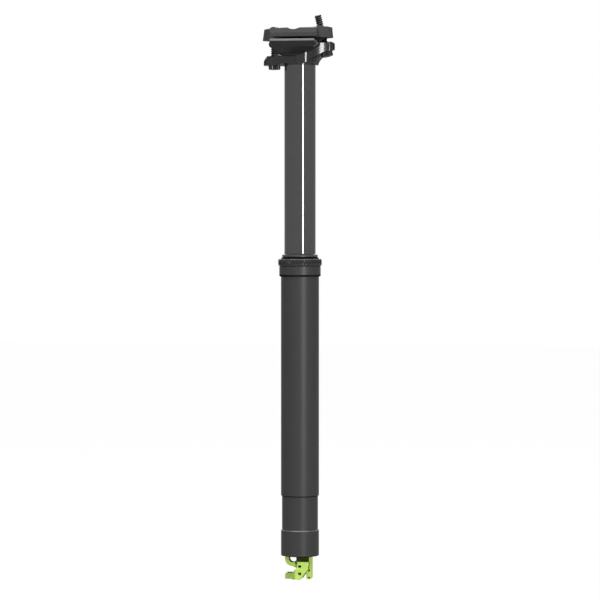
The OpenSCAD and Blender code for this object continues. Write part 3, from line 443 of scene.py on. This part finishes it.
def clamp_bolt(name):
    """A threaded socket-head bolt with its seat at the origin, standing along +Z."""
    bpy.ops.object.select_all(action="DESELECT")
    bpy.ops.mesh.primitive_plane_add(size=thread_pitch)
    shank = bpy.context.active_object
    shank.name = name
    edit(shank)
    bpy.ops.mesh.delete(type="ONLY_FACE")
    bpy.ops.mesh.select_all(action="DESELECT")
    bpy.ops.object.mode_set(mode="OBJECT")
    corners = ((bolt_radius - thread_depth, 0), (bolt_radius, thread_pitch * thread_crest[0]),
               (bolt_radius, thread_pitch * thread_crest[1]), (bolt_radius - thread_depth, thread_pitch))
    for vertex, corner in zip(shank.data.vertices, (corners[0], corners[1], corners[3], corners[2])):
        vertex.co = (corner[0], 0, corner[1] - 2 * thread_pitch)
    edit(shank)
    bpy.ops.mesh.select_all(action="DESELECT")
    bpy.ops.mesh.select_mode(type="EDGE")
    bpy.ops.object.mode_set(mode="OBJECT")
    for edge in shank.data.edges:
        ends = [shank.data.vertices[i].co for i in edge.vertices]
        edge.select = abs(ends[0].x - ends[1].x) < 1e-9 and ends[0].x < bolt_radius - thread_depth / 2
    bpy.ops.object.mode_set(mode="EDIT")
    bpy.ops.mesh.delete(type="EDGE")
    bpy.ops.object.mode_set(mode="OBJECT")
    screw = shank.modifiers.new("thread", "SCREW")
    screw.axis = "Z"
    screw.screw_offset = thread_pitch
    screw.iterations = int(bolt_length / thread_pitch) + 4
    screw.steps = screw.render_steps = 28
    screw.use_merge_vertices = True
    bpy.ops.object.modifier_apply(modifier=screw.name)
    edit(shank)
    bpy.ops.mesh.remove_doubles(threshold=1e-6)
    bpy.ops.mesh.bisect(plane_co=(0, 0, bolt_length), plane_no=(0, 0, 1), use_fill=True, clear_outer=True)
    bpy.ops.mesh.select_all(action="SELECT")
    bpy.ops.mesh.bisect(plane_co=(0, 0, shank_start), plane_no=(0, 0, -1), use_fill=True, clear_outer=True)
    bpy.ops.mesh.select_all(action="SELECT")
    bpy.ops.mesh.normals_make_consistent(inside=False)
    bpy.ops.object.mode_set(mode="OBJECT")
    bpy.ops.object.shade_smooth_by_angle(angle=math.radians(25))

    bpy.ops.object.select_all(action="DESELECT")
    bpy.ops.mesh.primitive_cylinder_add(vertices=2 * serrations, radius=head_radius,
                                        depth=head_height - head_chamfer, end_fill_type="NGON",
                                        location=(0, 0, (head_chamfer - head_height) / 2))
    cap = bpy.context.active_object
    bpy.ops.object.transform_apply(location=True, rotation=True, scale=True)
    edit(cap)
    bpy.ops.mesh.select_all(action="DESELECT")
    bpy.ops.object.mode_set(mode="OBJECT")
    for vertex in cap.data.vertices:
        column = round(math.atan2(vertex.co.y, vertex.co.x) / math.pi * serrations)
        vertex.select = column % 2 == 0
    bpy.ops.object.mode_set(mode="EDIT")
    bpy.ops.transform.resize(value=(serration_root, serration_root, 1), center_override=(0, 0, 0))
    bpy.ops.mesh.select_mode(type="FACE")
    bpy.ops.mesh.select_all(action="DESELECT")
    bpy.ops.object.mode_set(mode="OBJECT")
    for face in cap.data.polygons:
        face.select = face.normal.z < -squarely
    bpy.ops.object.mode_set(mode="EDIT")
    bpy.ops.mesh.inset(thickness=head_chamfer, depth=head_chamfer)
    bpy.ops.object.mode_set(mode="OBJECT")
    bpy.ops.mesh.primitive_cylinder_add(vertices=6, radius=socket_radius, depth=head_height,
                                        location=(0, 0, -head_height))
    join(cap, bpy.context.active_object, "DIFFERENCE")
    bpy.ops.object.select_all(action="DESELECT")
    cap.select_set(True)
    bpy.ops.object.shade_smooth_by_angle(angle=math.radians(20))
    shank.select_set(True)
    bpy.context.view_layer.objects.active = shank
    bpy.ops.object.join()
    shank.data.materials.append(black_steel)
    # Painted shade on the thread's crests and lower flanks, painted highlight on its upper flanks.
    paint(shank, painted_shade_black, lambda at, to: 0 < at.z < bolt_length and to.z < tilted)
    paint(shank, painted_highlight_grey, lambda at, to: 0 < at.z < bolt_length - hair and to.z > tilted)
    return shank


front_seat = (-0.0215, 0.1765, 0)
rear_seat = (0.022, 0.1867, math.radians(-13.4))
for end, (seat_x, seat_z, lean) in (("front", front_seat), ("rear", rear_seat)):
    bolt = clamp_bolt(end + "_clamp_bolt")
    bolt.rotation_euler = (0, lean, 0)
    bolt.location = (seat_x, 0, seat_z)
    bpy.ops.object.transform_apply(location=True, rotation=True, scale=True)
    fit(bolt, end + "_bolt_set", "black_steel", end + "_bolt")
    washer = welded_copy(end + "_washer", end + "_half_washer", black_steel)
    soften(washer, width=0.00025)
    fit(washer, end + "_bolt_set", "black_steel", end + "_washer")
    nut = welded_copy(end + "_barrel_nut", end + "_cross_nut", black_steel)
    soften(nut, width=0.0003)
    fit(nut, end + "_nut", "plain_steel", end + "_barrel_nut")

# Cable actuator: a forked body screwed into the tube's foot, with a hooked lever that the cable pulls down.
# Both are milled aluminium, anodised in one lime green, and turn on black steel cross pins. The lighter lime
# on the edges is a painted highlight, and the darker limes on the lever, the leg, the stop arm and the
# recesses are painted shade.
lime_green = finish("lime_anodised", (0.36, 0.52, 0.10), (0.40, 0.565, 0.128), (0.32, 0.42), grain_mm=0.2,
                    bump_um=3, Metallic=0.12, Specular_IOR_Level=0.0)
# A lighter lime, put on the softened edges as a painted highlight.
lime_edge_painted_highlight = finish("lime_edge_painted_highlight", (0.51, 0.67, 0.23), (0.57, 0.72, 0.28), (0.25, 0.32), grain_mm=0.2,
                   Metallic=0.3, Specular_IOR_Level=0.0)
# A darker lime on the lever, as painted shade.
lime_lever_painted_shade = finish("lime_lever_painted_shade", (0.275, 0.395, 0.078), (0.31, 0.435, 0.096), (0.32, 0.42), grain_mm=0.2,
                    bump_um=3, Metallic=0.12, Specular_IOR_Level=0.0)
# A slightly darker lime on the leg's side faces, as painted shade.
lime_leg_painted_shade = finish("lime_leg_painted_shade", (0.32, 0.457, 0.09), (0.358, 0.5, 0.113), (0.32, 0.42), grain_mm=0.2,
                  bump_um=3, Metallic=0.12, Specular_IOR_Level=0.0)
# A darker lime on the stop arm's side faces, as painted shade.
lime_painted_shade = finish("lime_painted_shade", (0.195, 0.28, 0.06), (0.22, 0.31, 0.072), (0.32, 0.42), grain_mm=0.2,
                    bump_um=3, Metallic=0.12, Specular_IOR_Level=0.0)
# A near-black lime in the block under the foot, the tray, the hook's inside and on the plates' rear faces, as
# deep painted shade.
lime_painted_deep_shade = finish("lime_painted_deep_shade", (0.02, 0.028, 0.005), (0.026, 0.036, 0.008), (0.4, 0.5), grain_mm=0.2,
                     Specular_IOR_Level=0.0)
foot = -0.232
block_depth = 0.0049
block_side = 0.004
leg_front = 0.0057
tray_depth, tray_height, tray_half = 0.0146, 0.0015, 0.0039
arm_start = -0.006
arm_root, arm_high = -0.003, foot - 0.011
hook_x, hook_z, hook_radius = -0.0058, foot - 0.0025, 0.0033
lengthwise, plate_slant = 0.5, 0.4


def in_painted_deep_shade(at, to):
    """True on the faces that get deep painted shade: the block between the foot and the plates, the tray of
    the stop arm, and the plates' faces turned towards the rear.
    """
    depth = foot - at.z
    in_block = hair < depth < block_depth - hair and at.x < leg_front
    block_face = in_block and (abs(at.y) > block_side or to.x < -lengthwise)
    over_tray = tray_depth < depth < tray_depth + tray_height and at.x < arm_start and abs(at.y) < tray_half
    tray_face = over_tray and to.x > -lengthwise
    plate_side = abs(at.y) > block_side and to.x > plate_slant and depth > block_depth
    return block_face or tray_face or plate_side


body = welded_copy("actuator_body", "actuator_fork", lime_green, lime_edge_painted_highlight)
edit(body)
bpy.ops.mesh.bisect(plane_co=(arm_root, 0, 0), plane_no=(1, 0, 0))
bpy.ops.object.mode_set(mode="OBJECT")
# The softened edges get the lighter lime as a painted highlight.
soften(body, width=0.0003, edge_slot=1)
# The stop arm's side faces get painted shade, the leg's side faces a lighter painted shade, and the recesses
# deep painted shade.
paint(body, lime_painted_shade, lambda at, to: at.x < arm_root and at.z < arm_high and abs(to.y) > squarely)
paint(body, lime_leg_painted_shade, lambda at, to: at.x > leg_front and abs(at.y) < block_side and abs(to.y) > squarely)
paint(body, lime_painted_deep_shade, in_painted_deep_shade)
fit(body, "lower_post", "lime_anodised", "actuator_body")
# The lever is in the darker lime as painted shade; its softened edges get the lighter lime as a painted
# highlight, and the hook's inner face deep painted shade.
lever = welded_copy("actuator_lever", "cable_lever", lime_lever_painted_shade, lime_edge_painted_highlight)
soften(lever, width=0.0003, edge_slot=1)
paint(lever, lime_painted_deep_shade, lambda at, to: math.hypot(at.x - hook_x, at.z - hook_z) < hook_radius)
fit(lever, "lever", "lime_anodised", "actuator_lever")
# Black steel cross pins, coloured near black as the painted shade of the holes they sit in.
pin_painted_shade = finish("pin_painted_shade", (0.005, 0.005, 0.005), (0.008, 0.008, 0.008), (0.35, 0.5), grain_mm=0.2,
                   Metallic=0.3, Specular_IOR_Level=0.0)
coat(pin_painted_shade, "lever_pivot_pin", "lower_cross_pin", "leg_pins")
coat(turned_aluminium, "valve_pin")

# Studio: a plain white floor below the upright post, which keeps its soft shadow, and a white surround.
# A tall strip light stands beside the camera, with soft boxes in front, above and behind.


def seen_white(tree):
    """A value of 1 for rays that see the surround: from the camera, and through gloss or glass."""
    path = tree.nodes.new("ShaderNodeLightPath")
    total = path.outputs["Is Camera Ray"]
    for kind in ("Is Glossy Ray", "Is Transmission Ray"):
        most = tree.nodes.new("ShaderNodeMath")
        most.operation = "MAXIMUM"
        tree.links.new(total, most.inputs[0])
        tree.links.new(path.outputs[kind], most.inputs[1])
        total = most.outputs[0]
    return total


ambient = 0.12
world = bpy.data.worlds.new("white_surround")
bpy.context.scene.world = world
world.use_nodes = True
sky = world.node_tree.nodes["Background"]
level = world.node_tree.nodes.new("ShaderNodeMapRange")
level.inputs["To Min"].default_value = ambient
level.inputs["To Max"].default_value = 1.0
world.node_tree.links.new(seen_white(world.node_tree), level.inputs["Value"])
sky.inputs["Color"].default_value = (1, 1, 1, 1)
world.node_tree.links.new(level.outputs["Result"], sky.inputs["Strength"])

floor_size = 12
floor_gap = 0.05
floor_glow = 0.985
bpy.ops.object.select_all(action="DESELECT")
bpy.ops.mesh.primitive_plane_add(size=floor_size, location=(0, 0, cad_low.z - floor_gap))
floor = bpy.context.active_object
floor.name = "floor"
paper = bpy.data.materials.new("white_paper")
paper.use_nodes = True
sheet = paper.node_tree
paper_shader = sheet.nodes["Principled BSDF"]
paper_shader.inputs["Base Color"].default_value = (0.9, 0.9, 0.9, 1)
paper_shader.inputs["Roughness"].default_value = 0.9
glow = sheet.nodes.new("ShaderNodeEmission")
glow.inputs["Strength"].default_value = 1.0
share = sheet.nodes.new("ShaderNodeMath")
share.operation = "MULTIPLY"
share.inputs[1].default_value = floor_glow
blend = sheet.nodes.new("ShaderNodeMixShader")
sheet.links.new(seen_white(sheet), share.inputs[0])
sheet.links.new(share.outputs[0], blend.inputs["Fac"])
sheet.links.new(paper_shader.outputs["BSDF"], blend.inputs[1])
sheet.links.new(glow.outputs["Emission"], blend.inputs[2])
sheet.links.new(blend.outputs["Shader"], sheet.nodes["Material Output"].inputs["Surface"])
floor.data.materials.append(paper)

camera_azimuth = math.radians(10)
camera_distance = 2.33
camera_height = 0.0375
aim_height = -0.0195
strip_azimuth = camera_azimuth + math.radians(21.9)


def round_post(azimuth, distance, height):
    """A place round the post's axis, seen from above, with azimuth 0 in front of it."""
    return (distance * math.sin(azimuth), -distance * math.cos(azimuth), height)


def soft_box(name, azimuth, elevation, distance, height, width, tall, radiance):
    """A soft box that faces the post's axis at the given height."""
    place = round_post(azimuth, distance * math.cos(elevation), height + distance * math.sin(elevation))
    bpy.ops.object.light_add(type="AREA", location=place, rotation=(math.radians(90) - elevation, 0, azimuth))
    lamp = bpy.context.active_object
    lamp.name = name
    lamp.data.shape = "RECTANGLE"
    lamp.data.size = width
    lamp.data.size_y = tall
    lamp.data.energy = radiance * math.pi * width * tall


soft_box("strip", azimuth=strip_azimuth, elevation=0, distance=1.5, height=-0.09,
         width=0.19, tall=0.84, radiance=37)
soft_box("front_top", azimuth=math.radians(-10), elevation=math.radians(19), distance=1.8, height=0.18,
         width=1.0, tall=0.75, radiance=5)
soft_box("overhead", azimuth=math.radians(10), elevation=math.radians(84), distance=1.6, height=0.1,
         width=1.8, tall=1.8, radiance=3.4)
soft_box("back_top", azimuth=math.radians(190), elevation=math.radians(32), distance=2.0, height=0.0,
         width=1.3, tall=1.0, radiance=7)

bpy.ops.object.camera_add(location=round_post(camera_azimuth, camera_distance, camera_height))
camera = bpy.context.active_object
camera.name = "camera"
drop = math.atan2(camera_height - aim_height, camera_distance)
camera.rotation_euler = (math.radians(90) - drop, 0, camera_azimuth)
camera.data.sensor_width = 36
camera.data.lens = 168.4
camera.data.clip_end = 50
bpy.context.scene.camera = camera
bpy.context.scene.view_settings.view_transform = "Standard"
